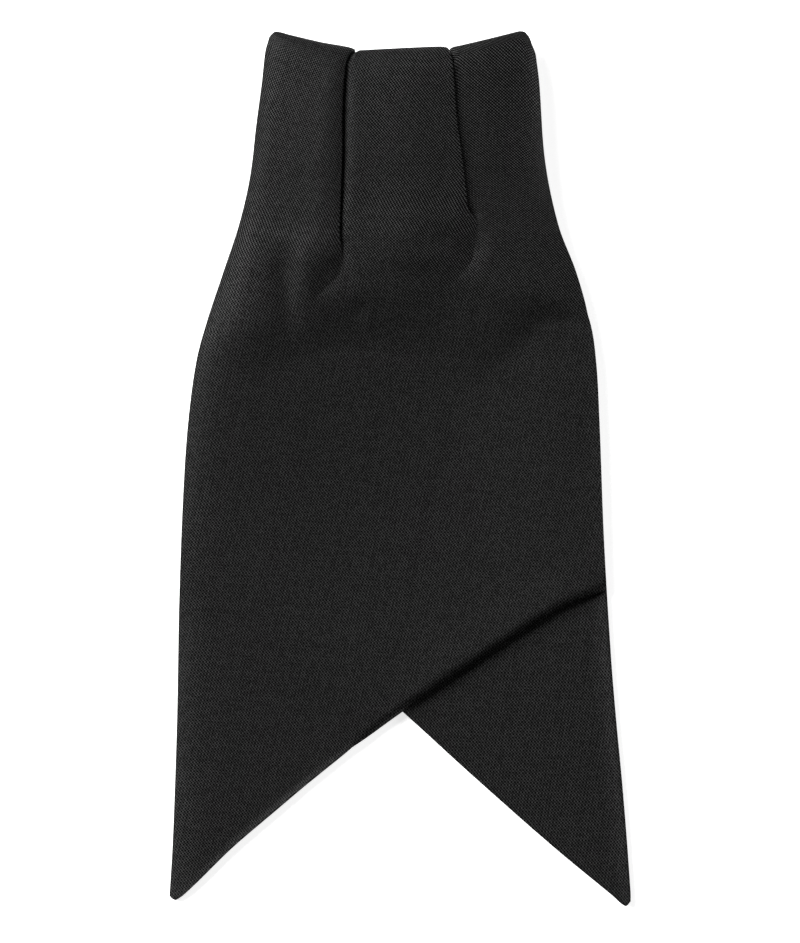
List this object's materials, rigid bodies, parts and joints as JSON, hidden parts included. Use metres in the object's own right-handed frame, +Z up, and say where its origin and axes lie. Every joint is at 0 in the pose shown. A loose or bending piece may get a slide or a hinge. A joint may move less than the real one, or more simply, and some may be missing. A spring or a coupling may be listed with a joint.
{
  "type": "clip-on cravat",
  "caption": "Black pleated clip-on cravat: a front and a back cloth blade with slanting ends, joined at a rolled, pleated top with a bent metal clip behind.",
  "frame": {"origin": "on the surface that the cravat lies on, under the middle of its outline", "axes": "+Z up, out of the front of the cravat; +Y towards its pleated top; +X to the right as it is seen from the front"},
  "size_m": [0.121, 0.2298, 0.0123],
  "materials": {
    "cloth": "matt black plain-weave polyester",
    "clip_metal": "plain nickel-plated spring steel"
  },
  "bodies": {
    "root": {"front_blade": "cloth", "back_blade": "cloth", "clip": "clip_metal"}
  },
  "joints": []
}
